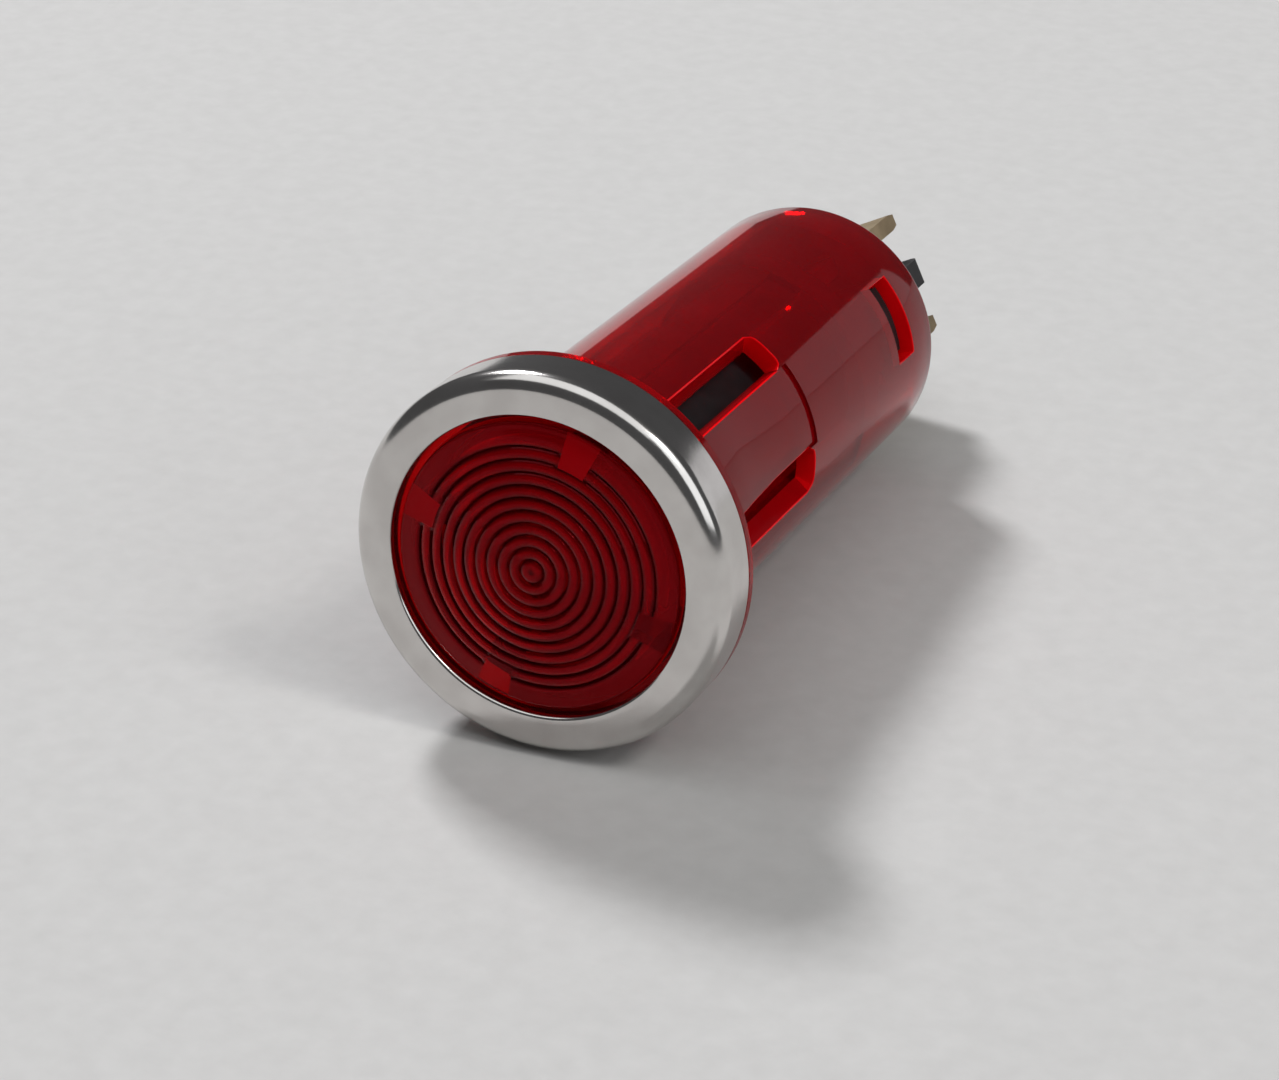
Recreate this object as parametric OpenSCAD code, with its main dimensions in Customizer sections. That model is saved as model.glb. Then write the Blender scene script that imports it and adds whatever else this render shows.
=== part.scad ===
// Snap-in panel pilot light: a neon lamp and its resistor in a black holder,
// inside a one-piece transparent red lens and barrel with a plated bezel ring.
// The axis lies along Y. The lens faces -Y and the flange seats on a panel at Y = 0.

/* [Barrel] */
// Outside diameter of the barrel, for a 12.7 mm panel hole
barrel_d = 12.5; // [12:0.1:14]
// Length of the barrel behind the panel seat
barrel_len = 28.05; // [26.5:0.05:32]
// Wall thickness of the barrel
barrel_wall = 0.87; // [0.7:0.01:1]
// Small rounding of the barrel's rear edge
rear_edge_r = 0.25; // [0.1:0.05:0.35]
// Turn of the two snap strips about the axis, from +X toward +Z
latch_turn = 26.5; // [0:0.5:90]

/* [Flange and lens] */
// Diameter of the flange's back edge
flange_d = 16.5; // [16.2:0.1:18]
// Thickness of the flange edge that shows behind the bezel
flange_edge = 0.5; // [0.3:0.05:0.8]
// Height of the flange's front face over the panel seat
flange_h = 2.3; // [2.1:0.05:3]
// Diameter of the lens, inside the bezel's opening
lens_d = 12.4; // [12:0.1:12.6]
// Rise of the lens crown over the flange's front face
lens_crown = 1.05; // [0.7:0.05:1.4]
// Rise of the lens edge over the flange's front face
lens_edge = 0.45; // [0.3:0.05:0.6]
// Bevel that stands for the rounding of the lens edge
lens_bevel = 0.15; // [0.05:0.05:0.25]
// Thickness of the lens
lens_t = 1.3; // [1:0.05:1.6]
// Diameter of the ringed part of the lens
ring_zone_d = 10.7; // [9.5:0.1:11]
// Spacing of the concentric lens rings
ring_pitch = 0.52; // [0.4:0.02:0.8]
// Depth of the groove between two lens rings
ring_depth = 0.15; // [0.05:0.01:0.18]

/* [Snap strips and slots] */
// Width of a snap strip, across its outside
strip_w = 3.74; // [3:0.02:4]
// Depth of the step from the barrel down to the strip
strip_step = 0.18; // [0.16:0.01:0.3]
// Distance of the step from the panel seat
step_y = 12.7; // [12.5:0.1:14]
// Height of the snap catch over the barrel
catch_h = 0.2; // [0.1:0.01:0.22]
// Distance from the panel seat to the catch, the thickest panel
catch_y = 2.2; // [1.5:0.1:3]
// Distance from the panel seat to the foot of the catch's ramp
ramp_y = 8; // [6:0.1:10]
// Width of a slot at the outside of the barrel
slot_w = 2; // [1.6:0.05:2.3]
// Draw-in of each slot side from the outside to the bore
slot_draft = 0.33; // [0:0.01:0.4]
// Front end of the slots behind the panel seat
slot_y0 = 0.8; // [0.5:0.1:2]
// Rear end of the slots behind the panel seat
slot_y1 = 12.3; // [10:0.1:12.4]

/* [Ribs and windows] */
// Width of one of the four ribs inside the barrel
rib_w = 1.5; // [1:0.1:2]
// How far a rib's front stop reaches in over the lamp holder's edge
rib_stop = 0.45; // [0.3:0.05:0.8]
// Length of a rear window along the axis
window_len = 1.95; // [1.6:0.05:2.4]
// Distance from the rear wall of a window to the barrel's rear end
window_back = 2.65; // [2:0.05:3]
// Angle that a rear window spans
window_angle = 35.5; // [30:0.5:40]

/* [Bezel ring] */
// Sheet thickness of the bezel ring
bezel_t = 0.3; // [0.25:0.01:0.4]
// Radius of the opening in the bezel ring
bezel_open_r = 6.5; // [6:0.05:6.7]
// Height of the bezel's face over the flange's front face
bezel_rise = 0.7; // [0.6:0.05:0.9]
// Outside radius of the bezel's rounded shoulder
bezel_round = 0.75; // [0.5:0.05:0.9]
// Radius of the lip's rounded edge
lip_round = 0.16; // [0.1:0.01:0.2]
// Gap between the bezel's skirt and the flange
bezel_fit = 0.03; // [0.02:0.01:0.06]

/* [Lamp holder] */
// Outside diameter of the black lamp holder
holder_d = 9.2; // [8.6:0.1:9.4]
// Gap between the lamp holder and the barrel's ribs
holder_fit = 0.05; // [0.03:0.01:0.2]
// Front end of the lamp holder, behind the panel seat
holder_y0 = 0.3; // [0.1:0.1:1]
// Depth of the lamp seat inside the holder, from its front
lamp_seat_len = 10.3; // [9.8:0.1:10.5]
// Diameter of the wiring space behind the lamp seat
wiring_d = 7.4; // [7.2:0.1:7.6]
// Length of the wiring space, from the lamp seat to the ribs' rear ends
wiring_len = 9; // [8.8:0.1:9.4]

/* [Rear plug] */
// Gap between the rear plug and the barrel's bore
plug_fit = 0.08; // [0.05:0.01:0.15]
// Thickness of the plug's front disc
plug_front_t = 1.8; // [1.4:0.1:2.2]
// Thickness of the plug's rear disc
plug_rear_t = 2.1; // [1.8:0.1:2.4]
// How far the plug's rear face stands out of the barrel
plug_out = 0.2; // [0.1:0.05:0.5]
// Thickness of the web between the plug's two discs
web_t = 3.2; // [2.8:0.1:3.6]
// Height of the plug's snap ridges over the plug
ridge_h = 0.32; // [0.2:0.01:0.4]
// Gap between a snap ridge and each end of its window
ridge_fit = 0.12; // [0.08:0.01:0.2]
// Thickness of the fin between the two blades
fin_t = 1.25; // [1:0.05:1.6]
// Width of the fin
fin_w = 7.4; // [6:0.1:10]
// How far the fin stands out of the plug
fin_len = 6.7; // [1.5:0.1:7.5]
// Rounding of the fin's two rear corners
fin_round = 0.6; // [0.3:0.05:0.6]

/* [Blades] */
// Width of a terminal blade
blade_w = 6.3; // [5.6:0.1:6.4]
// Thickness of a terminal blade
blade_t = 0.8; // [0.6:0.05:0.85]
// Distance between the middle planes of the blades
blade_gap = 5.4; // [5.2:0.05:5.7]
// Length of a blade behind the rear plug
blade_len = 7.3; // [6.5:0.1:11]
// Bevel of a blade's two tip corners
blade_bevel = 0.4; // [0.2:0.05:1.4]
// Thickness of a blade's coined tip edge
blade_tip_t = 0.4; // [0.3:0.05:0.6]
// Length over which a blade's tip thins
blade_coin = 1; // [0.6:0.1:2]
// Diameter of the hole in a blade
blade_hole_d = 1.65; // [1.4:0.05:2]
// Distance from a blade's hole to its tip
blade_hole_tip = 4; // [3:0.1:4.8]
// Width of the solder tail at a blade's front end
tail_w = 2.4; // [1.8:0.1:2.6]
// Length of the solder tail in front of the plug
tail_len = 1.3; // [1:0.1:1.6]
// Gap around a blade in its slot
blade_fit = 0.05; // [0.03:0.01:0.1]

/* [Neon lamp] */
// Diameter of the glass envelope
lamp_d = 5.9; // [5.5:0.05:6.1]
// Gap between the glass and its seat
lamp_fit = 0.06; // [0.04:0.01:0.12]
// Length of the glass envelope
lamp_len = 9.5; // [9:0.1:9.8]
// Glass wall thickness
glass_t = 0.5; // [0.35:0.05:0.6]
// Length of the solid pinch at the rear of the glass
pinch_len = 1.8; // [1.4:0.1:2.4]
// Diameter of the electrodes
electrode_d = 0.75; // [0.5:0.05:0.9]
// Length of the electrodes inside the glass
electrode_len = 5.2; // [4:0.1:5.4]
// Distance between the electrodes
electrode_gap = 2; // [1.6:0.05:2.2]

/* [Resistor and wiring] */
// Diameter of the resistor body
resistor_d = 2.3; // [1.8:0.05:2.4]
// Length of the resistor body
resistor_len = 5.4; // [5:0.1:5.6]
// Length of each of the resistor's two thick ends
resistor_end = 1.3; // [1.1:0.05:1.6]
// Depth of the resistor's waist under its thick ends
resistor_waist = 0.16; // [0.1:0.01:0.25]
// Rounding of the resistor's two thick ends
resistor_round = 0.4; // [0.2:0.05:0.5]
// Diameter of every bare lead
lead_d = 0.5; // [0.4:0.05:0.6]
// Bend radius of a lead, at the middle of the wire
lead_bend_r = 0.4; // [0.35:0.05:0.5]
// Outside diameter of the insulating tube on the bare lead
tube_d = 1.1; // [0.95:0.05:1.3]
// Gap between that tube's bore and the lead
tube_fit = 0.05; // [0.03:0.01:0.1]
// Diameter of the crimp that joins the lamp lead to the resistor
crimp_d = 1.1; // [0.95:0.05:1.3]
// Length of that crimp
crimp_len = 1; // [0.8:0.1:1.2]
// Length of a solder joint
solder_len = 0.9; // [0.7:0.1:1]

/* [Hidden] */
$fn = 96;
eps = 0.01;
bite = 0.3;
past = 0.5;

barrel_r = barrel_d / 2;
bore_r = barrel_r - barrel_wall;
flange_r = flange_d / 2;
skirt_r = flange_r;
skirt_in_r = skirt_r - bezel_t;
flange_neck_r = skirt_in_r - bezel_fit;
lens_r = lens_d / 2;
crown_k = (lens_crown - lens_edge) / (lens_r * lens_r);
ring_count = floor(ring_zone_d / 2 / ring_pitch);
ring_end = ring_count * ring_pitch;
crest_from = 0.3;
crest_to = 0.7;
inner_steps = 6;
edge_mid = 0.3;
bezel_face_h = flange_h + bezel_rise;

strip_half = asin(strip_w / 2 / barrel_r);
strip_r = barrel_r - strip_step;
catch_slope = 0.1;
catch_top = 0.5;
slot_half = asin(slot_w / 2 / barrel_r);
slot_mid = strip_half + slot_half;
latch_turns = [latch_turn, latch_turn + 180];
rib_turns = [for (quarter = [0 : 3]) latch_turn + 45 + quarter * 90];
rib_r = holder_d / 2 + holder_fit;
rib_y1 = holder_y0 + lamp_seat_len + wiring_len;
plug_gap = 0.2;
window_y1 = barrel_len - window_back;
window_y0 = window_y1 - window_len;

plug_r = bore_r - plug_fit;
plug_y1 = barrel_len + plug_out;
plug_y0 = rib_y1 + plug_gap;
plug_waist_y0 = plug_y0 + plug_front_t;
plug_waist_y1 = plug_y1 - plug_rear_t;
ridge_y0 = window_y0 + ridge_fit;
ridge_y1 = window_y1 - ridge_fit;
ridge_side_gap = 1.5;
ridge_half = window_angle / 2 - ridge_side_gap;
ridge_tip = 0.5;
blade_y0 = plug_waist_y0 + blade_fit;
blade_y1 = plug_y1 + blade_len;
blade_v = blade_gap / 2;
tail_y0 = plug_y0 - tail_len;

seat_r = lamp_d / 2 + lamp_fit;
lamp_back_gap = 0.2;
lamp_y0 = holder_y0 + lamp_seat_len - lamp_len - lamp_back_gap;
lamp_y1 = lamp_y0 + lamp_len;
lamp_r = lamp_d / 2;
pinch_y0 = lamp_y1 - pinch_len;
electrode_v = electrode_gap / 2;
electrode_y0 = pinch_y0 - electrode_len;
electrode_root = 0.5;

lead_r = lead_d / 2;
joint_gap = 0.02;
lead_v = blade_v - blade_t / 2 - lead_r - joint_gap;
lead_end_gap = 0.1;
lead_y1 = plug_y0 - lead_end_gap;
solder_y0 = lead_y1 - solder_len;
lean = 60;
bend_thin = 0.98;
seam = 0.02;
jog_v = lead_v - electrode_v;
jog_run = (jog_v - 2 * lead_bend_r * (1 - cos(lean))) / sin(lean);
jog_y = 2 * lead_bend_r * sin(lean) + jog_run * cos(lean);
resistor_y1 = solder_y0 - jog_y - lead_end_gap;
resistor_y0 = resistor_y1 - resistor_len;
resistor_waist_r = resistor_d / 2 - resistor_waist;
lead_in = 0.5;
crimp_gap = 0.3;
crimp_y0 = lamp_y1 + crimp_gap;
crimp_y1 = crimp_y0 + crimp_len;
crimp_mid = (crimp_y0 + crimp_y1) / 2;
lamp_jog_y0 = lamp_y1 + lead_end_gap;
tube_gap = 0.3;
tube_end_gap = 0.4;
tube_y0 = lamp_jog_y0 + jog_y + tube_gap;
tube_y1 = tail_y0 - tube_end_gap;

// Height of the lens surface over the panel seat, at distance r from the axis.
function crown(r) = flange_h + lens_crown - crown_k * r * r;

// Outline of one lens ring, from its groove to its crest.
function ring_points(i) = [
    [i * ring_pitch, crown(i * ring_pitch) - (i == 0 ? 0 : ring_depth)],
    [(i + crest_from) * ring_pitch, crown((i + crest_from) * ring_pitch)],
    [(i + crest_to) * ring_pitch, crown((i + crest_to) * ring_pitch)]
];

// Puts a shape drawn with the lens upward onto the part's own axis.
module on_axis() {
    rotate([90, 0, 0]) children();
}

// A ring sector of the section drawn by its children, centred on the angle turn.
module sector(turn, angle) {
    rotate([0, 0, turn - angle / 2])
        rotate_extrude(angle = angle) children();
}

// The frame of the wiring: X along the latch plane, Y from one blade to the other.
module wiring_frame() {
    on_axis() rotate([0, 0, latch_turn]) children();
}

// A round bar along the axis, from depth y0 to depth y1 behind the panel seat.
module bar(r, y0, y1, v = 0) {
    translate([0, v, -y1]) cylinder(r = r, h = y1 - y0);
}

// One bend of a lead through the angle lean, where the wire is stretched a little thinner.
module elbow() {
    rotate_extrude(angle = lean) translate([lead_bend_r, 0]) circle(r = lead_r * bend_thin);
}

// A lead that moves out from the electrode's line to the blade's, from depth y0 on.
module jog(y0) {
    translate([0, electrode_v, -y0]) rotate([90, 0, 90]) {
        translate([lead_bend_r, 0, 0]) rotate([0, 0, 180]) elbow();
        translate([lead_bend_r * (1 - cos(lean)), -lead_bend_r * sin(lean), 0])
            rotate([90, 0, lean]) translate([0, 0, -seam]) cylinder(r = lead_r, h = jog_run + 2 * seam);
        translate([jog_v - lead_bend_r, -jog_y, 0]) elbow();
    }
}

// Half section of the lens, the flange and the plain barrel.
module barrel_section() {
    rings = [for (i = [0 : ring_count - 1]) each ring_points(i)];
    inner = [for (i = [inner_steps : -1 : 0]) let (r = bore_r * i / inner_steps) [r, crown(r) - lens_t]];
    polygon(concat(rings, [
        [ring_end, crown(ring_end) - ring_depth],
        [ring_end + crest_from * ring_pitch, crown(ring_end + crest_from * ring_pitch)],
        [lens_r - lens_bevel, crown(lens_r - lens_bevel)],
        [lens_r, crown(lens_r) - lens_bevel],
        [lens_r, flange_h],
        [flange_neck_r, flange_h],
        [flange_neck_r, flange_edge],
        [flange_r, flange_edge],
        [flange_r, 0],
        [barrel_r, 0],
        [barrel_r, -barrel_len + rear_edge_r],
        [barrel_r - rear_edge_r * edge_mid, -barrel_len + rear_edge_r * edge_mid],
        [barrel_r - rear_edge_r, -barrel_len],
        [bore_r, -barrel_len]], inner));
}

// Section of a snap strip: step, flat, ramp and catch.
module strip_section() {
    polygon([
        [bore_r, bite],
        [strip_r, bite],
        [strip_r, -catch_y],
        [barrel_r + catch_h, -catch_y - catch_slope],
        [barrel_r + catch_h, -catch_y - catch_top],
        [strip_r, -ramp_y],
        [strip_r, -step_y - bite],
        [bore_r, -step_y - bite]]);
}

// A slot cutter with sides that draw in toward the bore.
module slot_cut() {
    in_w = slot_w - 2 * slot_draft;
    grow = slot_draft / barrel_wall;
    translate([0, 0, -slot_y1])
        linear_extrude(height = slot_y1 - slot_y0)
            polygon([
                [bore_r - past, -in_w / 2],
                [bore_r, -in_w / 2],
                [barrel_r + past, -slot_w / 2 - grow * past],
                [barrel_r + past, slot_w / 2 + grow * past],
                [bore_r, in_w / 2],
                [bore_r - past, in_w / 2]]);
}

// The lens, the flange and the barrel are one transparent red moulding.
module lens_barrel() {
    color("crimson", 0.75) on_axis() difference() {
        union() {
            difference() {
                rotate_extrude() barrel_section();
                for (turn = latch_turns)
                    sector(turn, 2 * strip_half)
                        translate([bore_r - eps, -step_y])
                            square([barrel_wall + past, step_y]);
            }
            for (turn = latch_turns) sector(turn, 2 * strip_half) strip_section();
            for (turn = rib_turns) barrel_rib(turn);
        }
        for (turn = latch_turns) {
            for (side = [-1, 1]) rotate([0, 0, turn + side * slot_mid]) slot_cut();
            sector(turn, window_angle)
                translate([bore_r - past, -window_y1]) square([barrel_wall + 2 * past, window_len]);
        }
    }
}

// One rib inside the barrel, with a stop in front of the lamp holder's edge.
module barrel_rib(turn) {
    stop_r = rib_r - rib_stop;
    root_r = bore_r + barrel_wall / 2;
    intersection() {
        rotate([0, 0, turn])
            translate([stop_r, -rib_w / 2, -rib_y1]) cube([root_r, rib_w, rib_y1 + flange_h]);
        rotate_extrude() polygon([
            [rib_r, -rib_y1],
            [root_r, -rib_y1],
            [root_r, crown(bore_r) - lens_t / 2],
            [stop_r, crown(stop_r) - lens_t / 2],
            [stop_r, -holder_y0],
            [rib_r, -holder_y0]]);
    }
}

// The bezel is one plated brass ring, pressed over the flange from the front.
module bezel_ring() {
    corner_r = bezel_round;
    color("gainsboro") on_axis() rotate_extrude() difference() {
        union() {
            translate([bezel_open_r + lip_round, flange_h])
                square([skirt_r - corner_r - bezel_open_r - lip_round, bezel_rise]);
            translate([bezel_open_r, flange_h])
                square([lip_round + eps, bezel_rise - lip_round]);
            translate([bezel_open_r + lip_round, bezel_face_h - lip_round]) circle(r = lip_round);
            translate([bezel_open_r, flange_edge])
                square([skirt_r - bezel_open_r, bezel_face_h - corner_r - flange_edge]);
            translate([skirt_r - corner_r, bezel_face_h - corner_r]) circle(r = corner_r);
        }
        translate([bezel_open_r - past, flange_edge - past])
            square([skirt_in_r - bezel_open_r + past, flange_h - flange_edge + past]);
        translate([bezel_open_r + bezel_t, flange_h - past])
            square([skirt_in_r - corner_r - bezel_open_r + bite / 2, bezel_rise - bezel_t + past]);
        translate([skirt_in_r - corner_r + bezel_t, bezel_face_h - corner_r])
            circle(r = corner_r - bezel_t);
        translate([skirt_in_r - corner_r, flange_h - past])
            square([corner_r, bezel_face_h - corner_r - flange_h + past]);
    }
}

// The lamp holder is a black moulded tube with a seat for the lamp.
module lamp_holder() {
    color("dimgray") on_axis() difference() {
        bar(holder_d / 2, holder_y0, plug_y0);
        bar(seat_r, holder_y0 - past, holder_y0 + lamp_seat_len + eps);
        bar(wiring_d / 2, holder_y0 + lamp_seat_len, plug_y0 + past);
    }
}

// The slot for one blade through the rear plug, wide behind and narrow in front.
module blade_slot(side) {
    w = blade_w + 2 * blade_fit;
    t = blade_t + 2 * blade_fit;
    translate([-w / 2, side * blade_v - t / 2, -plug_y1 - past])
        cube([w, t, plug_y1 + past - plug_waist_y0]);
    translate([-tail_w / 2 - blade_fit, side * blade_v - t / 2, -plug_waist_y1])
        cube([tail_w + 2 * blade_fit, t, plug_waist_y1]);
}

// The rear plug is a black moulding: two discs, a web, two snap ridges and a fin.
module rear_plug() {
    color("black") wiring_frame() difference() {
        union() {
            bar(plug_r, plug_y0, plug_waist_y0);
            bar(plug_r, plug_waist_y1, plug_y1);
            intersection() {
                bar(plug_r, plug_y0, plug_y1);
                translate([-plug_r, -web_t / 2, -plug_y1]) cube([2 * plug_r, web_t, plug_y1]);
            }
            for (turn = [0, 180]) sector(turn, 2 * ridge_half) polygon([
                [plug_r - bite, -ridge_y1],
                [plug_r + ridge_h, -ridge_y1],
                [plug_r + ridge_h, -ridge_y1 + ridge_tip],
                [plug_r, -ridge_y0],
                [plug_r - bite, -ridge_y0]]);
            rear_fin();
        }
        for (side = [-1, 1]) blade_slot(side);
    }
}

// The fin that keeps the two blades apart, with rounded rear corners.
module rear_fin() {
    h = fin_len + bite;
    translate([0, fin_t / 2, -plug_y1 - fin_len]) rotate([90, 0, 0]) linear_extrude(height = fin_t)
        union() {
            translate([-fin_w / 2, fin_round]) square([fin_w, h - fin_round]);
            translate([-fin_w / 2 + fin_round, 0]) square([fin_w - 2 * fin_round, h]);
            for (s = [-1, 1]) translate([s * (fin_w / 2 - fin_round), fin_round]) circle(r = fin_round);
        }
}

// One stamped brass blade with a coined tip, a hole and a narrow solder tail.
module blade(side) {
    color("darkkhaki") wiring_frame() translate([0, side * blade_v, 0]) intersection() {
        translate([0, blade_t / 2 + past, 0]) rotate([90, 0, 0])
            linear_extrude(height = blade_t + 2 * past) blade_outline();
        translate([-blade_w / 2 - past, 0, 0]) rotate([90, 0, 90])
            linear_extrude(height = blade_w + 2 * past) blade_edge();
    }
}

// The blade's outline, seen on its broad side.
module blade_outline() {
    tip = blade_w / 2 - blade_bevel;
    half = blade_w / 2;
    difference() {
        polygon([
            [-tip, -blade_y1], [tip, -blade_y1],
            [half, -blade_y1 + blade_bevel], [half, -blade_y0],
            [tail_w / 2, -blade_y0], [tail_w / 2, -tail_y0],
            [-tail_w / 2, -tail_y0], [-tail_w / 2, -blade_y0],
            [-half, -blade_y0], [-half, -blade_y1 + blade_bevel]]);
        translate([0, -blade_y1 + blade_hole_tip]) circle(d = blade_hole_d);
    }
}

// The blade's thickness, seen along its width, thinning toward the tip.
module blade_edge() {
    polygon([
        [-blade_t / 2, -tail_y0 + past], [-blade_t / 2, -blade_y1 + blade_coin],
        [-blade_tip_t / 2, -blade_y1], [-blade_tip_t / 2, -blade_y1 - past],
        [blade_tip_t / 2, -blade_y1 - past], [blade_tip_t / 2, -blade_y1],
        [blade_t / 2, -blade_y1 + blade_coin], [blade_t / 2, -tail_y0 + past]]);
}

module blade_upper() {
    blade(1);
}

module blade_lower() {
    blade(-1);
}

// The lamp's glass: a round-ended hollow envelope on a solid pinch.
module neon_glass() {
    in_r = lamp_r - glass_t;
    color("lightyellow", 0.5) wiring_frame() difference() {
        union() {
            bar(lamp_r, lamp_y0 + lamp_r, lamp_y1);
            translate([0, 0, -lamp_y0 - lamp_r]) sphere(r = lamp_r);
        }
        bar(in_r, lamp_y0 + lamp_r, pinch_y0);
        translate([0, 0, -lamp_y0 - lamp_r]) sphere(r = in_r);
        for (side = [-1, 1]) {
            bar(electrode_d / 2, pinch_y0 - past, pinch_y0 + electrode_root, side * electrode_v);
            bar(lead_r, pinch_y0, lamp_y1 + past, side * electrode_v);
        }
    }
}

// One electrode rod, with its root in the glass pinch.
module electrode(side) {
    color("silver") wiring_frame()
        bar(electrode_d / 2, electrode_y0, pinch_y0 + electrode_root, side * electrode_v);
}

module electrode_upper() {
    electrode(1);
}

module electrode_lower() {
    electrode(-1);
}

// The lamp's upper lead, from its electrode into the crimp.
module lamp_lead_upper() {
    color("lightsteelblue") wiring_frame()
        bar(lead_r, pinch_y0 + electrode_root, crimp_mid - joint_gap, electrode_v);
}

// The lamp's lower lead, from its electrode to the lower blade's solder tail.
module lamp_lead_lower() {
    color("lightsteelblue") wiring_frame() mirror([0, 1, 0]) {
        bar(lead_r, pinch_y0 + electrode_root, lamp_jog_y0 + seam, electrode_v);
        jog(lamp_jog_y0);
        bar(lead_r, lamp_jog_y0 + jog_y - seam, lead_y1, lead_v);
    }
}

// The crimp that joins the lamp's lead to the resistor's.
module lead_crimp() {
    color("silver") wiring_frame() difference() {
        bar(crimp_d / 2, crimp_y0, crimp_y1, electrode_v);
        bar(lead_r, crimp_y0 - past, crimp_y1 + past, electrode_v);
    }
}

// The resistor's body, wider at its two ends.
module resistor_body() {
    color("tan") wiring_frame() difference() {
        translate([0, electrode_v, -resistor_y1]) rotate_extrude() union() {
            square([resistor_waist_r, resistor_len]);
            for (h = [0, resistor_len - resistor_end]) end_section(h);
        }
        bar(lead_r, resistor_y0 - past, resistor_y0 + lead_in, electrode_v);
        bar(lead_r, resistor_y1 - lead_in, resistor_y1 + past, electrode_v);
    }
}

// Half section of one rounded end of the resistor.
module end_section(h) {
    flat_r = resistor_d / 2 - resistor_round;
    translate([0, h]) square([flat_r, resistor_end]);
    translate([0, h + resistor_round])
        square([resistor_d / 2, resistor_end - 2 * resistor_round]);
    for (z = [resistor_round, resistor_end - resistor_round])
        translate([flat_r, h + z]) circle(r = resistor_round);
}

// The resistor's front lead, from the crimp into the body.
module resistor_lead_front() {
    color("silver") wiring_frame()
        bar(lead_r, crimp_mid + joint_gap, resistor_y0 + lead_in, electrode_v);
}

// The resistor's rear lead, from the body to the upper blade's solder tail.
module resistor_lead_rear() {
    jog_y0 = resistor_y1 + lead_end_gap;
    color("silver") wiring_frame() {
        bar(lead_r, resistor_y1 - lead_in, jog_y0 + seam, electrode_v);
        jog(jog_y0);
        bar(lead_r, jog_y0 + jog_y - seam, lead_y1, lead_v);
    }
}

// The insulating tube on the lamp's lower lead.
module lead_tube() {
    color("white") wiring_frame() difference() {
        bar(tube_d / 2, tube_y0, tube_y1, -lead_v);
        bar(lead_r + tube_fit, tube_y0 - past, tube_y1 + past, -lead_v);
    }
}

// One solder joint, filling the corner between a lead and a blade's tail.
module solder(side) {
    color("lightgray") wiring_frame() difference() {
        translate([0, side * lead_v, -(solder_y0 + lead_y1) / 2]) sphere(r = solder_len / 2);
        bar(lead_r, solder_y0 - past, lead_y1 + past, side * lead_v);
        translate([-tail_w, side * blade_v - blade_t / 2, -blade_y1])
            cube([2 * tail_w, blade_t, blade_y1]);
    }
}

module solder_upper() {
    solder(1);
}

module solder_lower() {
    solder(-1);
}

lens_barrel();
bezel_ring();
lamp_holder();
rear_plug();
blade_upper();
blade_lower();
neon_glass();
electrode_upper();
electrode_lower();
lamp_lead_upper();
lamp_lead_lower();
lead_crimp();
resistor_body();
resistor_lead_front();
resistor_lead_rear();
lead_tube();
solder_upper();
solder_lower();
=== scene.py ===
import math
import bmesh
import bpy
from mathutils import Matrix, Vector


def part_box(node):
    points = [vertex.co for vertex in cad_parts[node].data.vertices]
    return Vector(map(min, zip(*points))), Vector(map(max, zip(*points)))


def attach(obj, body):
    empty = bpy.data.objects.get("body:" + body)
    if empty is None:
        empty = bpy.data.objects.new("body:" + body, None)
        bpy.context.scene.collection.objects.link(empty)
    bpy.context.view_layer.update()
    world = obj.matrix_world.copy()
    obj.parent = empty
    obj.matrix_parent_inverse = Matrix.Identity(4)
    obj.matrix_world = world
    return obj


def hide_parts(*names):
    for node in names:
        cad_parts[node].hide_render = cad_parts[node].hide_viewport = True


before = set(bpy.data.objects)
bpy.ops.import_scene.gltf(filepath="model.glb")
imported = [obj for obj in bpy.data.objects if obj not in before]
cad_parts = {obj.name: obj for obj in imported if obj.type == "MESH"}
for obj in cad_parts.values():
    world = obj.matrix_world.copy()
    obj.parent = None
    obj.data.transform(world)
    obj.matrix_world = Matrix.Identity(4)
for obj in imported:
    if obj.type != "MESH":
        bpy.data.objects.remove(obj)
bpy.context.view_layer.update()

# --- Camera ---
# The light lies on its side and is seen from the front, a little from the right and above,
# so that the ringed lens, one snap strip with its slots and one rear window all show.
camera_data = bpy.data.cameras.new("camera")
camera_data.sensor_width = 36
camera_data.lens = 92.9
camera_data.clip_start = 0.01
camera_place = (0.05048, -0.1125, 0.05446)
camera_right = Vector((0.91729, 0.39738, 0.02594))
camera_up = Vector((-0.18196, 0.36029, 0.91492))
camera_back = Vector((0.35423, -0.84397, 0.40279))
facing = Matrix((camera_right, camera_up, camera_back)).transposed().to_4x4()
camera = bpy.data.objects.new("camera", camera_data)
camera.matrix_world = Matrix.Translation(camera_place) @ facing
bpy.context.scene.collection.objects.link(camera)
bpy.context.scene.camera = camera

# --- Floor ---
# A sheet of pale, slightly toothed paper. It tips by four degrees, because the light
# rests on the rim of its flange in front and on the end of its barrel behind.
mm = 0.001
flange_r, barrel_r, barrel_len = 8.25, 6.25, 28.05
rise = (flange_r - barrel_r) / barrel_len
floor_half = 1.2
corners = [(sx * floor_half, sy * floor_half, -flange_r * mm + sy * floor_half * rise)
           for sx, sy in ((-1, -1), (1, -1), (1, 1), (-1, 1))]
floor_mesh = bpy.data.meshes.new("floor")
floor_mesh.from_pydata(corners, [], [(0, 1, 2, 3)])
floor = bpy.data.objects.new("floor", floor_mesh)
bpy.context.scene.collection.objects.link(floor)


def noise(nodes, links, scale, detail):
    place = nodes.new("ShaderNodeTexCoord")
    cloud = nodes.new("ShaderNodeTexNoise")
    cloud.inputs["Scale"].default_value = scale
    cloud.inputs["Detail"].default_value = detail
    links.new(place.outputs["Object"], cloud.inputs["Vector"])
    return cloud


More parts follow.
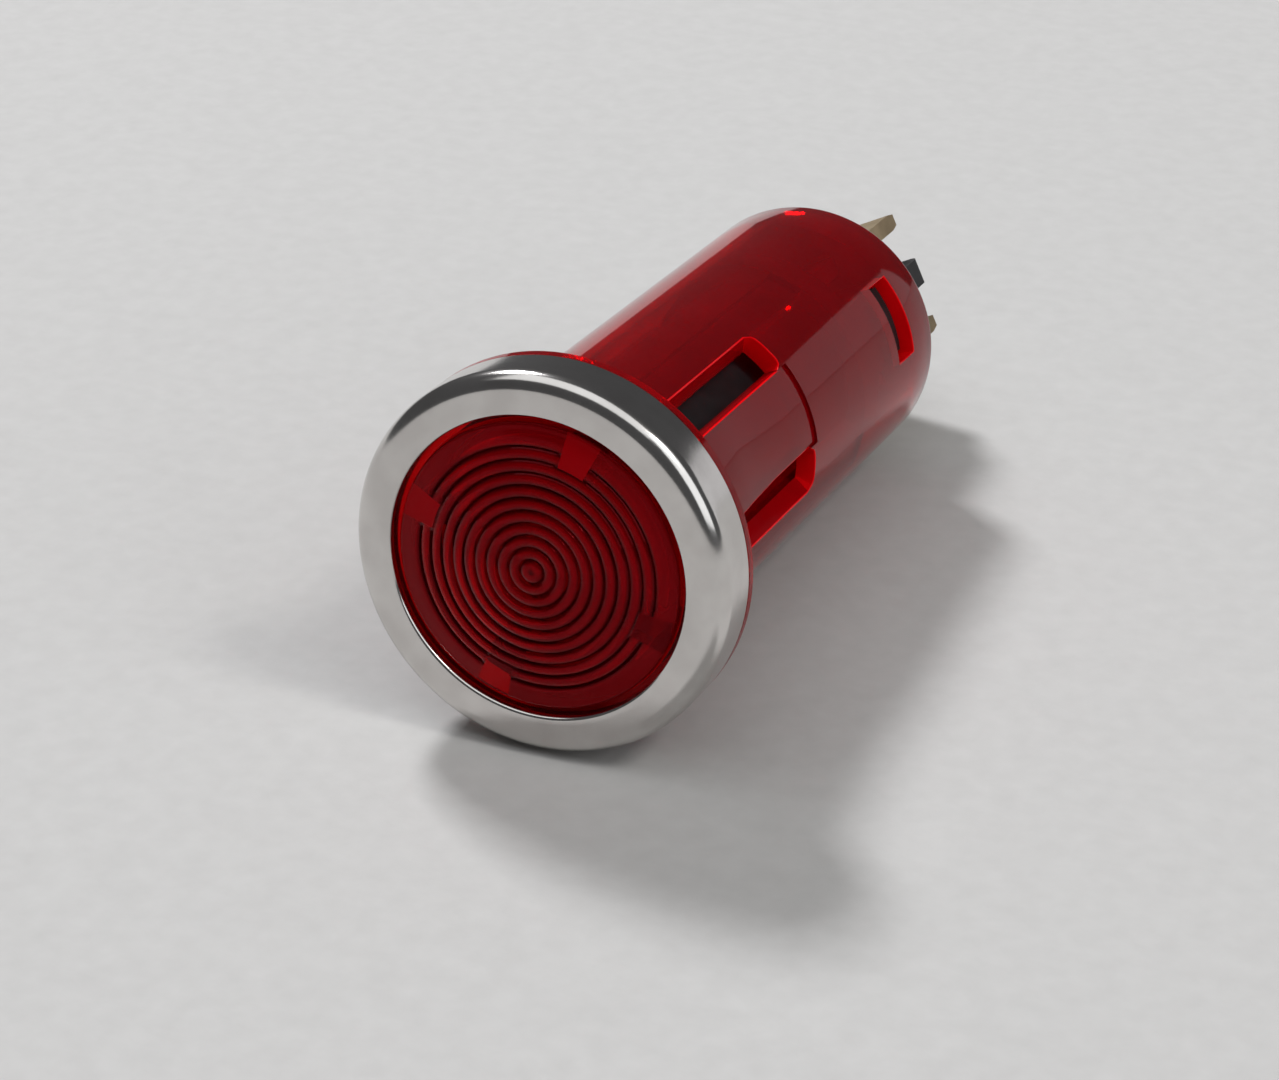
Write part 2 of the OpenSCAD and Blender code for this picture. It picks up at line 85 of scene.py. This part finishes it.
def toned(name, dark, light, spread, grain, detail):
    """A material whose colour drifts between two tones, with its shader, nodes and noise."""
    material = bpy.data.materials.new(name)
    material.use_nodes = True
    nodes = material.node_tree.nodes
    links = material.node_tree.links
    skin = nodes["Principled BSDF"]
    cloud = noise(nodes, links, grain, detail)
    tone = nodes.new("ShaderNodeValToRGB")
    for end, colour, position in zip(tone.color_ramp.elements, (dark, light), spread):
        end.position = position
        end.color = (*colour, 1)
    links.new(cloud.outputs["Fac"], tone.inputs["Fac"])
    links.new(tone.outputs["Color"], skin.inputs["Base Color"])
    return material, skin, nodes, links, cloud


def emboss(skin, nodes, links, cloud, strength, height):
    bump = nodes.new("ShaderNodeBump")
    bump.inputs["Strength"].default_value = strength
    bump.inputs["Distance"].default_value = height
    links.new(cloud.outputs["Fac"], bump.inputs["Height"])
    links.new(bump.outputs["Normal"], skin.inputs["Normal"])


paper, skin, nodes, links, tooth = toned("pale_paper", (0.53, 0.52, 0.51), (0.61, 0.6, 0.59),
                                         (0, 1), 900, 4)
skin.inputs["Roughness"].default_value = 0.85
emboss(skin, nodes, links, tooth, 0.25, 0.1 * mm)
floor_mesh.materials.append(paper)

# --- Studio light ---
# A dim room with a wide ceiling light in front, a tall window and a small lamp on the right,
# a small bright window behind on the left, which casts the shadow, and a weak card behind.
# The first three also draw the bright arch round the bezel's shoulder.
world = bpy.data.worlds.new("room")
world.use_nodes = True
room = world.node_tree.nodes["Background"]
room.inputs["Color"].default_value = (0.88, 0.89, 0.92, 1)
room.inputs["Strength"].default_value = 0.09
bpy.context.scene.world = world
light_distance = 1.3


def window(name, azimuth, elevation, wide, high, power, colour):
    """A rectangular light that faces the part. Its azimuth runs clockwise from +Y."""
    light = bpy.data.lights.new(name, "AREA")
    light.shape = "RECTANGLE"
    light.size = wide
    light.size_y = high
    light.energy = power
    light.color = colour
    lamp = bpy.data.objects.new(name, light)
    a, e = math.radians(azimuth), math.radians(elevation)
    toward = Vector((math.sin(a) * math.cos(e), math.cos(a) * math.cos(e), math.sin(e)))
    lamp.location = light_distance * toward
    lamp.rotation_euler = (-lamp.location).to_track_quat("-Z", "Y").to_euler()
    bpy.context.scene.collection.objects.link(lamp)


window("window_left", -54, 48, 0.24, 0.24, 12.5, (0.97, 0.98, 1))
window("lamp_right", 103, 50, 0.25, 0.25, 3, (1, 0.97, 0.93))
window("window_right", 107, 32, 0.95, 1.1, 4.2, (0.95, 0.98, 1))
window("ceiling", -165, 72, 1.8, 0.95, 5.8, (0.97, 0.99, 1))
window("card_behind", 34, 10, 0.75, 0.4, 0.6, (0.98, 0.98, 1))
bpy.context.scene.view_settings.view_transform = "Standard"

# --- Lens and barrel ---
# One transparent red moulding: a domed lens with fine concentric rings, a flange that seats on
# the panel, and a barrel with two snap strips, their four slots and two rear windows. Four
# ribs in the bore stop the lamp holder. Depths are in mm behind the panel seat.
turn = math.radians(26.5)
bore_r, wall_end, rear_round = 5.38, 27.8, 0.25
lens_r, crest, edge_rise, edge_round, lens_t = 6.2, 3.35, 0.45, 0.16, 1.3
crown_k = (1.05 - edge_rise) / lens_r ** 2
pitch, groove, rings, ring_steps = 0.52, 0.15, 11, 8
seat_r, seat_front, seat_edge = 7.92, -2.3, 0.08
flange_t, flange_edge, flange_lead = 0.5, 0.05, 0.06
strip_r, strip_end = 6.12, 12.7
catch_r, catch_foot, catch_start, catch_end = 6.45, 2.2, 2.3, 2.7
ramp_mid, ramp_mid_r, ramp_end = 5.3, 6.244, 8.0
slot_start, slot_stop, corner_round = 0.8, 12.3, 0.5
window_start, window_stop = 23.45, 25.4
# in degrees from the strip's middle: the slot's middle, and half its width outside and in the bore
slot_mid, edge_out, edge_in = 26.62, 9.21, 7.15
strip_half = slot_mid - edge_out
rib_half, rib_r, stop_r, rib_start, rib_end = 0.75, 4.65, 4.2, 0.3, 19.6
# in degrees: a rib's middle, and half the width of the cells that hold it
rib_mid, rib_reach = 45, 7.0
# the rings break off in front of the ribs, from one radius to the other
plain_in, plain_out = 4.65, 5.5
# two places nearer than this, or two points nearer than the speck, are the same
close, speck = 0.01, 1e-8


def crown(r):
    """How far the lens's plain dome stands in front of the panel seat."""
    return crest - crown_k * r * r


def steps(start, stop, count):
    return [start + (stop - start) * i / count for i in range(count)]


def quarter_turn(count):
    return [i / count * math.pi / 2 for i in range(count + 1)]


# Angle lines from the middle of a strip to a quarter turn, as (angle outside, angle in the
# bore, whether a rib's side lies on it). They are mirrored to half a turn and used twice.
strip_steps, slot_steps, rib_steps, plain_steps = 12, 12, 12, 24
rib_from, rib_to = rib_mid - rib_reach, rib_mid + rib_reach
quarter = [(a, a, False) for a in steps(0, strip_half, strip_steps)]
quarter += [(strip_half + edge_out * 2 * t, slot_mid - edge_in + edge_in * 2 * t, False)
            for t in steps(0, 1, slot_steps)]
quarter += [(slot_mid + edge_out, slot_mid + edge_in, False), (rib_from, rib_from, True)]
quarter += [(a, a, False) for a in steps(rib_from, rib_to, rib_steps)[1:]]
quarter += [(rib_to, rib_to, True)]
quarter += [(a, a, False) for a in steps(rib_to + 2.6, 90, plain_steps)]
lines = quarter + [(90, 90, False)]
lines += [(180 - a, 180 - b, rib_side) for a, b, rib_side in reversed(quarter[1:])]
half = len(lines)
total = 2 * half
slot_reach = strip_steps + slot_steps
strip_cols = set(range(strip_steps)) | set(range(half - strip_steps, half))
slot_cols = set(range(strip_steps, slot_reach)) | set(range(half - slot_reach, half - strip_steps))
sides = [i for i, line in enumerate(lines) if line[2]]
rib_cols = set(range(sides[0], sides[1])) | set(range(sides[2], sides[3]))

# Rows of the outside, from the middle of the lens to the rear edge, as (radius, depth).
outside = []
for k in range(1, ring_steps * (rings - 1) + ring_steps // 2 + 1):
    t = k % ring_steps / ring_steps
    r = (k // ring_steps + t) * pitch
    dip = groove * (1 - math.sqrt(1 - (2 * t - 1) ** 2)) if k > ring_steps // 2 else 0
    outside.append((r, -(crown(r) - dip)))
outside += [(r, -crown(r)) for r in (5.65, 5.85)]
for a in quarter_turn(8):
    outside.append((lens_r - edge_round * (1 - math.sin(a)),
                    -(crown(lens_r - edge_round) - edge_round * (1 - math.cos(a)))))
outside += [(lens_r, seat_front), (7.0, seat_front), (seat_r - seat_edge, seat_front),
            (seat_r, seat_front + seat_edge), (seat_r, -flange_t)]
outside += [(flange_r - flange_edge, -flange_t), (flange_r, -flange_t + flange_edge),
            (flange_r, -flange_lead), (flange_r - flange_lead, 0), (barrel_r, 0)]
wall_y = [0.0, rib_start, slot_start, catch_foot, catch_start, catch_end, ramp_mid, ramp_end,
          10, slot_stop, strip_end, 16, rib_end, window_start, window_stop, wall_end]
front_rows = len(outside) - 1
outside += [(barrel_r, y) for y in wall_y[1:]]
outside += [(barrel_r - rear_round * (1 - math.cos(a)), wall_end + rear_round * math.sin(a))
            for a in quarter_turn(4)[1:]]

# The strip's radius at each row: its face, the catch behind the flange and the catch's ramp.
strip_profile = {y: strip_r for y in wall_y if y <= strip_end}
strip_profile.update({catch_start: catch_r, catch_end: catch_r, ramp_mid: ramp_mid_r})


def lens_back(r):
    return -(crown(r) - lens_t)


# Rows of the inside, from the rear edge back to the middle of the lens.
inside = [(bore_r, barrel_len)] + [(bore_r, y) for y in reversed(wall_y)]
inside += [(r, lens_back(r)) for r in (bore_r, 4.9, 4.5, stop_r, 3.6, 3, 2.4, 1.8, 1.2, 0.6)]


def at(r, y, angle):
    """A point at a radius, a depth and an angle from the middle of the right strip."""
    a = turn + math.radians(angle)
    return Vector((r * math.cos(a), y, r * math.sin(a))) * mm


def masked(col, y0, y1):
    """Whether a cell of the wall is open, because a slot or a window is there."""
    col = col % half
    if col in slot_cols and y0 > slot_start - close and y1 < slot_stop + close:
        return True
    return col in strip_cols and y0 > window_start - close and y1 < window_stop + close


def slot_end(line):
    """How far the slot's rounded corner draws its rear edge forward at this angle line."""
    a = lines[line % half][0]
    a = min(a, 180 - a)
    into = math.radians(edge_out - abs(a - slot_mid)) * barrel_r
    if into < -close or into > corner_round:
        return 0
    return corner_round - math.sqrt(corner_round ** 2 - (corner_round - max(into, 0)) ** 2)


def outer_corner(row, line, col, cell):
    """A corner on a row and an angle line, for the cell in that column and row of cells."""
    r, y = outside[row]
    angle = lines[line % half][0]
    front = min(outside[cell][1], outside[cell + 1][1])
    if cell >= front_rows and col % half in strip_cols and front < strip_end - close:
        r = strip_profile[y]
    if y == slot_stop:
        y -= slot_end(line)
    before_rib = abs(abs(angle - 90) - rib_mid) < rib_reach + close
    if row < front_rows and plain_in < r < plain_out and before_rib:
        y = -crown(r)
    return at(r, y, angle + 180 * (line // half))


def inner_corner(row, line, col, cell):
    r, y = inside[row]
    angle, rib_side = lines[line % half][1:]
    in_rib = col % half in rib_cols
    front, back = sorted((inside[cell][1], inside[cell + 1][1]))
    if in_rib and back < rib_end + close:
        if front > rib_start - close:
            r = rib_r
        elif r > stop_r:
            r = stop_r
            if cell >= len(wall_y) or y < -flange_t:
                y = lens_back(stop_r)
    if in_rib or rib_side:
        # a rib's sides are parallel, so it takes up more degrees where the radius is smaller
        middle = rib_mid if angle < 90 else 180 - rib_mid
        reach = math.degrees(math.asin(rib_half / max(r, stop_r)))
        angle = middle + (angle - middle) / rib_reach * reach
    return at(r, y, angle + 180 * (line // half))


mesh = bmesh.new()
body, matt, lens_face, slot_side = range(4)


def quad(points, kind=body):
    """A face through those of the points that differ."""
    kept = []
    for p in points:
        if not kept or (p - kept[-1]).length > speck:
            kept.append(p)
    if len(kept) > 1 and (kept[0] - kept[-1]).length <= speck:
        kept.pop()
    if len(kept) > 2:
        mesh.faces.new([mesh.verts.new(p) for p in kept]).material_index = kind


def in_lens(r1, y1):
    return y1 < lens_back(bore_r) + close and r1 < lens_r + close


def outer_kind(col, r0, r1, y0, y1):
    """The material of an outside cell. The plain patches before the ribs differ by half: the two on the
    first half take the less clear side-wall red, a painted highlight that makes them show brighter, as
    if they caught the light.
    """
    if col % half in rib_cols and r0 > plain_in and r1 < lens_r and y1 < seat_front:
        return slot_side if col < half else body
    return lens_face if in_lens(r1, y1) else body


def inner_kind(col, r0, r1, y0, y1):
    """The material of an inside cell. The ribs' front ends are matt."""
    if col % half in rib_cols and y1 < catch_start + close and y0 > lens_back(bore_r) - close:
        return matt
    return lens_face if in_lens(r1, y1) else body


def surface(rows, corner, kind_at):
    """The cells of one side, and small walls where two neighbouring cells don't meet."""
    cells = []
    for (ra, ya), (rb, yb) in zip(rows, rows[1:]):
        cells.append((*sorted((ra, rb)), *sorted((ya, yb)), abs(ra - rb) < 1e-6 and ya > -close))
    for col in range(total):
        following = (col + 1) % total
        back_round = total if following == 0 else 0
        for j, (r0, r1, y0, y1, straight) in enumerate(cells):
            if straight and masked(col, y0, y1):
                continue
            a, b = corner(j, col, col, j), corner(j, col + 1, col, j)
            d, e = corner(j + 1, col, col, j), corner(j + 1, col + 1, col, j)
            quad([a, b, e, d], kind_at(col, r0, r1, y0, y1))
            if not (straight and masked(following, y0, y1)):
                line = col + 1 - back_round
                n0, n1 = corner(j, line, following, j), corner(j + 1, line, following, j)
                if (n0 - b).length > speck or (n1 - e).length > speck:
                    quad([b, n0, n1, e])
            if j + 1 < len(cells):
                z0, z1, next_straight = cells[j + 1][2:]
                if not (next_straight and masked(col, z0, z1)):
                    n0, n1 = corner(j + 1, col, col, j + 1), corner(j + 1, col + 1, col, j + 1)
                    if (n0 - d).length > speck or (n1 - e).length > speck:
                        quad([d, n0, n1, e])


surface(outside, outer_corner, outer_kind)
surface(inside, inner_corner, inner_kind)
last_out, last_in = len(outside) - 1, len(inside) - 1
for c in range(total):
    # the middle of the lens, in front and behind
    quad([Vector((0, -crown(0), 0)) * mm, outer_corner(0, c, c, 0),
          outer_corner(0, c + 1, c, 0)], lens_face)
    quad([Vector((0, lens_back(0), 0)) * mm, inner_corner(last_in, c, c, last_in - 1),
          inner_corner(last_in, c + 1, c, last_in - 1)], lens_face)
for c in range(total):
    # the flat rear end, between the outside's last row and the inside's first
    quad([outer_corner(last_out, c, c, last_out - 1), outer_corner(last_out, c + 1, c, last_out - 1),
          inner_corner(0, c + 1, c, 0), inner_corner(0, c, c, 0)])


def cut_wall(start, end, col, out_cell, in_cell, kind):
    """A wall from the outside to the bore, between two (outside row, inside row, line) places."""
    (out_a, in_a, line_a), (out_b, in_b, line_b) = start, end
    quad([outer_corner(out_a, line_a, col, out_cell), outer_corner(out_b, line_b, col, out_cell),
          inner_corner(in_b, line_b, col, in_cell), inner_corner(in_a, line_a, col, in_cell)], kind)


# the walls of the slots and windows: two along the barrel and two across it
for c in range(total):
    for j in range(len(wall_y) - 1):
        y0, y1 = wall_y[j], wall_y[j + 1]
        if masked(c, y0, y1):
            continue
        out_row, in_row = front_rows + j, len(wall_y) - j
        for side in (0, 1):
            if masked((c + 2 * side - 1) % total, y0, y1):
                cut_wall((out_row, in_row, c + side), (out_row + 1, in_row - 1, c + side),
                         c, out_row, in_row - 1, slot_side if y0 < strip_end else matt)
        for near, shift in ((j - 1, 0), (j + 1, 1)):
            if 0 <= near < len(wall_y) - 1 and masked(c, wall_y[near], wall_y[near + 1]):
                cut_wall((out_row + shift, in_row - shift, c), (out_row + shift, in_row - shift, c + 1),
                         c, out_row, in_row - 1, matt)
bmesh.ops.remove_doubles(mesh, verts=mesh.verts, dist=2e-7)
# the slivers left where a rib or a strip ends against a wall that steps sideways
bmesh.ops.holes_fill(mesh, edges=[e for e in mesh.edges if len(e.link_faces) == 1], sides=0)
bmesh.ops.recalc_face_normals(mesh, faces=mesh.faces)
# the rims of the slots and windows are marked for easing, where two of the materials meet
rim = mesh.edges.layers.float.new("bevel_weight_edge")
rim_r = 6
for e in mesh.edges:
    outer = min(math.hypot(v.co.x, v.co.z) for v in e.verts) > rim_r * mm
    kinds = {f.material_index for f in e.link_faces}
    if outer and len(kinds) == 2 and e.calc_face_angle(0) > math.radians(50):
        e[rim] = 1
lens_mesh = bpy.data.meshes.new("lens_and_barrel")
mesh.to_mesh(lens_mesh)
mesh.free()
for p in lens_mesh.polygons:
    p.use_smooth = True
lens = bpy.data.objects.new("lens_and_barrel", lens_mesh)
bpy.context.scene.collection.objects.link(lens)


def ease_edges(obj, width, segments, angle):
    """Round the edges that turn by more than an angle, in degrees. The width is in mm."""
    bevel = obj.modifiers.new("eased edges", "BEVEL")
    bevel.width = width * mm
    bevel.segments = segments
    bevel.limit_method = "ANGLE"
    bevel.angle_limit = math.radians(angle)
    bevel.harden_normals = True
    return bevel


def sharp_by_angle(obj, angle):
    data = bmesh.new()
    data.from_mesh(obj.data)
    for e in data.edges:
        e.smooth = len(e.link_faces) == 2 and e.calc_face_angle(0) < math.radians(angle)
    data.to_mesh(obj.data)
    data.free()


sharp_by_angle(lens, 28)
eased = ease_edges(lens, 0.06, 2, 50)
eased.limit_method = "WEIGHT"
eased.use_clamp_overlap = False
eased.material = matt


def plastic(name, dark, light, grain, smoothest, roughest, relief):
    """A moulded plastic whose colour, polish and relief (in mm) all drift with one noise."""
    material, skin, nodes, links, cloud = toned(name, dark, light, (0.3, 0.7), grain, 5)
    rough = nodes.new("ShaderNodeMapRange")
    rough.inputs["To Min"].default_value = smoothest
    rough.inputs["To Max"].default_value = roughest
    links.new(cloud.outputs["Fac"], rough.inputs["Value"])
    links.new(rough.outputs["Result"], skin.inputs["Roughness"])
    emboss(skin, nodes, links, cloud, 0.5, relief * mm)
    return material, skin, nodes, links


def red_plastic(name, dark, light, grain, smoothest, roughest, relief, clear, ior):
    """Transparent red plastic, which deepens with the distance that light goes through it."""
    material, skin, nodes, links = plastic(name, dark, light, grain, smoothest, roughest, relief)
    skin.inputs["Transmission Weight"].default_value = clear
    skin.inputs["IOR"].default_value = ior
    skin.inputs["Specular IOR Level"].default_value = 0.25
    skin.inputs["Specular Tint"].default_value = (1, 0.2, 0.22, 1)
    depth = nodes.new("ShaderNodeVolumeAbsorption")
    depth.inputs["Color"].default_value = (0.88, 0, 0.02, 1)
    depth.inputs["Density"].default_value = 1500
    links.new(depth.outputs["Volume"], nodes["Material Output"].inputs["Volume"])
    return material, skin, nodes, links


red = red_plastic("red_moulding", (0.74, 0.0006, 0.008), (0.86, 0.001, 0.012),
                  350, 0.03, 0.08, 0.004, 0.86, 1.27)[0]
cut_red = red_plastic("red_cut_wall", (0.88, 0.001, 0.004), (0.98, 0.002, 0.006),
                      500, 0.12, 0.25, 0.006, 0.12, 1.3)[0]
side_red = red_plastic("red_side_wall", (0.8, 0.001, 0.006), (0.92, 0.001, 0.008),
                       500, 0.08, 0.18, 0.005, 0.6, 1.3)[0]
lens_red, skin, nodes, links = red_plastic("red_lens", (0.8, 0.0006, 0.006), (0.92, 0.001, 0.01),
                                           350, 0.02, 0.06, 0.003, 0.78, 1.49)
skin.inputs["Specular Tint"].default_value = (1, 0.08, 0.1, 1)
# painted shade: the lens's colour is darkened in each groove, ring by ring from the middle out, as the
# shade that falls in the grooves
where = nodes.new("ShaderNodeTexCoord")
flat = nodes.new("ShaderNodeVectorMath")
flat.operation = "MULTIPLY"
flat.inputs[1].default_value = (1 / (pitch * mm), 0, 1 / (pitch * mm))
links.new(where.outputs["Object"], flat.inputs[0])
out_from_middle = nodes.new("ShaderNodeVectorMath")
out_from_middle.operation = "LENGTH"
links.new(flat.outputs["Vector"], out_from_middle.inputs[0])
along_ring = nodes.new("ShaderNodeMath")
along_ring.operation = "FRACT"
links.new(out_from_middle.outputs["Value"], along_ring.inputs[0])
shade = nodes.new("ShaderNodeValToRGB")
for end in shade.color_ramp.elements:
    end.color = (0.2, 0.2, 0.2, 1)
for position, value in ((0.14, 0.3), (0.36, 1), (0.68, 1), (0.86, 0.3)):
    shade.color_ramp.elements.new(position).color = (value, value, value, 1)
links.new(along_ring.outputs["Value"], shade.inputs["Fac"])
last_groove = 10.3
inside_rings = nodes.new("ShaderNodeMath")
inside_rings.operation = "LESS_THAN"
inside_rings.inputs[1].default_value = last_groove
links.new(out_from_middle.outputs["Value"], inside_rings.inputs[0])
painted_groove_shade = nodes.new("ShaderNodeMix")
painted_groove_shade.data_type = "RGBA"
painted_groove_shade.blend_type = "MULTIPLY"
plain_red = skin.inputs["Base Color"].links[0].from_socket
links.new(inside_rings.outputs["Value"], painted_groove_shade.inputs["Factor"])
links.new(plain_red, painted_groove_shade.inputs["A"])
links.new(shade.outputs["Color"], painted_groove_shade.inputs["B"])
links.new(painted_groove_shade.outputs["Result"], skin.inputs["Base Color"])
for material in (red, cut_red, lens_red, side_red):
    lens_mesh.materials.append(material)
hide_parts("lens_barrel")
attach(lens, "root")

# --- Bezel ring ---
# A thin brass ring, drawn from sheet, plated bright and pressed over the moulding from the
# front. Its face is slightly hazy, and its shoulder and the lip round the lens are rounded.
shoulder, sheet_t, lip, hem = 0.75, 0.3, 0.16, 0.05
skirt_r, face, open_r, back = 8.25, 3.0, 6.5, 0.5
flat_in, flat_out, skirt_mid, lip_back = 6.9, 7.2, 1.4, 2.32


def arc(cx, cy, r, start, end, count):
    turned = [math.radians(start + (end - start) * i / count) for i in range(count + 1)]
    return [(cx + r * math.cos(a), cy + r * math.sin(a)) for a in turned]


# the ring's section, as (radius, height over the panel seat)
profile = [(open_r, lip_back)]
profile += arc(open_r + lip, face - lip, lip, 180, 90, 8)
profile += [(flat_in, face), (flat_out, face)]
profile += arc(skirt_r - shoulder, face - shoulder, shoulder, 90, 0, 16)
profile += [(skirt_r, skirt_mid), (skirt_r, back + 0.03)]
profile += arc(skirt_r - hem, back + hem, hem, 0, -90, 3)
profile += arc(skirt_r - sheet_t + hem, back + hem, hem, -90, -180, 3)
profile += [(skirt_r - sheet_t, skirt_mid)]
profile += arc(skirt_r - shoulder, face - shoulder, shoulder - sheet_t, 0, 90, 10)
profile += [(flat_in, face - sheet_t), (open_r + sheet_t, face - sheet_t)]
profile += [(open_r + sheet_t, lip_back)]


def lathe(name, section, count):
    """A ring turned about the barrel's axis, with its section closed on itself."""
    data = bmesh.new()
    hoops = [[data.verts.new(at(r, -h, 360 * i / count)) for i in range(count)] for r, h in section]
    for one, other in zip(hoops, hoops[1:] + hoops[:1]):
        for i in range(count):
            k = (i + 1) % count
            data.faces.new((one[i], one[k], other[k], other[i])).smooth = True
    bmesh.ops.recalc_face_normals(data, faces=data.faces)
    made = bpy.data.meshes.new(name)
    data.to_mesh(made)
    data.free()
    obj = bpy.data.objects.new(name, made)
    bpy.context.scene.collection.objects.link(obj)
    sharp_by_angle(obj, 40)
    return obj


def metal(name, dark, light, grain, smoothest, roughest):
    """A metal with hazy patches, duller where it is darker, and a very fine relief."""
    material, skin, nodes, links, haze = toned(name, dark, light, (0.35, 0.65), grain, 6)
    skin.inputs["Metallic"].default_value = 1
    rough = nodes.new("ShaderNodeMapRange")
    rough.inputs["To Min"].default_value = roughest
    rough.inputs["To Max"].default_value = smoothest
    links.new(haze.outputs["Fac"], rough.inputs["Value"])
    links.new(rough.outputs["Result"], skin.inputs["Roughness"])
    emboss(skin, nodes, links, noise(nodes, links, 6000, 3), 0.12, 0.01 * mm)
    return material


bezel = lathe("bezel", profile, 288)
plate = metal("bright_plating", (0.57, 0.545, 0.525), (0.66, 0.635, 0.615), 500, 0.12, 0.2)
bezel.data.materials.append(plate)
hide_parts("bezel_ring")
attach(bezel, "root")

# --- Neon lamp ---
# A small neon lamp in the front of the barrel: a clear glass envelope, pinched shut behind,
# with two nickel electrodes on wires that are sealed into the pinch.
glass, skin, nodes, links = plastic("lamp_glass", (0.93, 0.93, 0.91), (0.99, 0.98, 0.97),
                                    300, 0.01, 0.04, 0.002)
skin.inputs["Transmission Weight"].default_value = 0.97
skin.inputs["IOR"].default_value = 1.5
nickel = metal("electrode_nickel", (0.36, 0.34, 0.31), (0.55, 0.53, 0.5), 900, 0.3, 0.5)
tinned = metal("tinned_wire", (0.5, 0.49, 0.47), (0.72, 0.71, 0.69), 1200, 0.22, 0.42)


def dress(material, *names):
    for name in names:
        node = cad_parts[name]
        node.data.materials.clear()
        node.data.materials.append(material)


dress(glass, "neon_glass")
dress(nickel, "electrode_upper", "electrode_lower")
dress(tinned, "lamp_lead_upper", "lamp_lead_lower")

# --- Resistor and wiring ---
# A lacquered carbon resistor in line with the upper lamp lead, joined by a crimp, and a
# plastic sleeve on the lower lead. Both leads are soldered to the blades' tails.
lacquer, skin, nodes, links = plastic("resistor_lacquer", (0.42, 0.28, 0.16), (0.56, 0.41, 0.25),
                                      600, 0.2, 0.35, 0.01)
place = nodes.new("ShaderNodeTexCoord")
along = nodes.new("ShaderNodeSeparateXYZ")
links.new(place.outputs["Object"], along.inputs["Vector"])
reach = nodes.new("ShaderNodeMapRange")
front_end, rear_end = (corner[1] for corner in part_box("resistor_body"))
reach.inputs["From Min"].default_value = front_end
reach.inputs["From Max"].default_value = rear_end
links.new(along.outputs["Y"], reach.inputs["Value"])
# four colour bands, each as (start, end, colour) along the body
bands = nodes.new("ShaderNodeValToRGB")
bands.color_ramp.interpolation = "CONSTANT"
for start, end, colour in ((0.14, 0.24, (0.30, 0.12, 0.02)), (0.34, 0.42, (0.01, 0.01, 0.01)),
                           (0.50, 0.58, (0.75, 0.45, 0.02)), (0.78, 0.88, (0.5, 0.36, 0.1))):
    bands.color_ramp.elements.new(start).color = (*colour, 1)
    bands.color_ramp.elements.new(end).color = (1, 1, 1, 0)
for end in (0, -1):
    bands.color_ramp.elements[end].color = (1, 1, 1, 0)
links.new(reach.outputs["Result"], bands.inputs["Fac"])
paint = nodes.new("ShaderNodeMix")
paint.data_type = "RGBA"
coat = skin.inputs["Base Color"].links[0].from_socket
links.new(bands.outputs["Alpha"], paint.inputs["Factor"])
links.new(coat, paint.inputs["A"])
links.new(bands.outputs["Color"], paint.inputs["B"])
links.new(paint.outputs["Result"], skin.inputs["Base Color"])
sleeve = plastic("sleeve", (0.62, 0.59, 0.52), (0.78, 0.76, 0.7), 800, 0.35, 0.55, 0.008)[0]
solder = metal("solder", (0.42, 0.42, 0.43), (0.64, 0.64, 0.65), 1500, 0.2, 0.45)
dress(lacquer, "resistor_body")
dress(sleeve, "lead_tube")
dress(tinned, "lead_crimp", "resistor_lead_front", "resistor_lead_rear")
dress(solder, "solder_upper", "solder_lower")

# --- Lamp holder ---
# A plain black moulded tube. It carries the lamp in its front end, is pushed in from the rear
# against the barrel's ribs, and shields the wiring.
black, skin, nodes, links = plastic("black_moulding", (0.009, 0.008, 0.009), (0.018, 0.016, 0.018),
                                    900, 0.45, 0.62, 0.006)
skin.inputs["Specular IOR Level"].default_value = 0.28
dress(black, "lamp_holder")

# --- Rear plug ---
# A black moulding that snaps into the two rear windows and holds the blades. Its fin keeps
# the two push-on connectors apart. All its edges are slightly rounded.
dress(black, "rear_plug")
ease_edges(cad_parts["rear_plug"], 0.35, 4, 40)

# --- Blades ---
# Two tabs for push-on connectors, stamped from brass strip and slightly tarnished. They sit
# in the plug, and each has a coined tip and a hole for the connector's dimple.
brass = metal("stamped_brass", (0.22, 0.155, 0.08), (0.40, 0.30, 0.17), 420, 0.34, 0.52)
for name in ("blade_upper", "blade_lower"):
    dress(brass, name)
    ease_edges(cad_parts[name], 0.05, 2, 30)
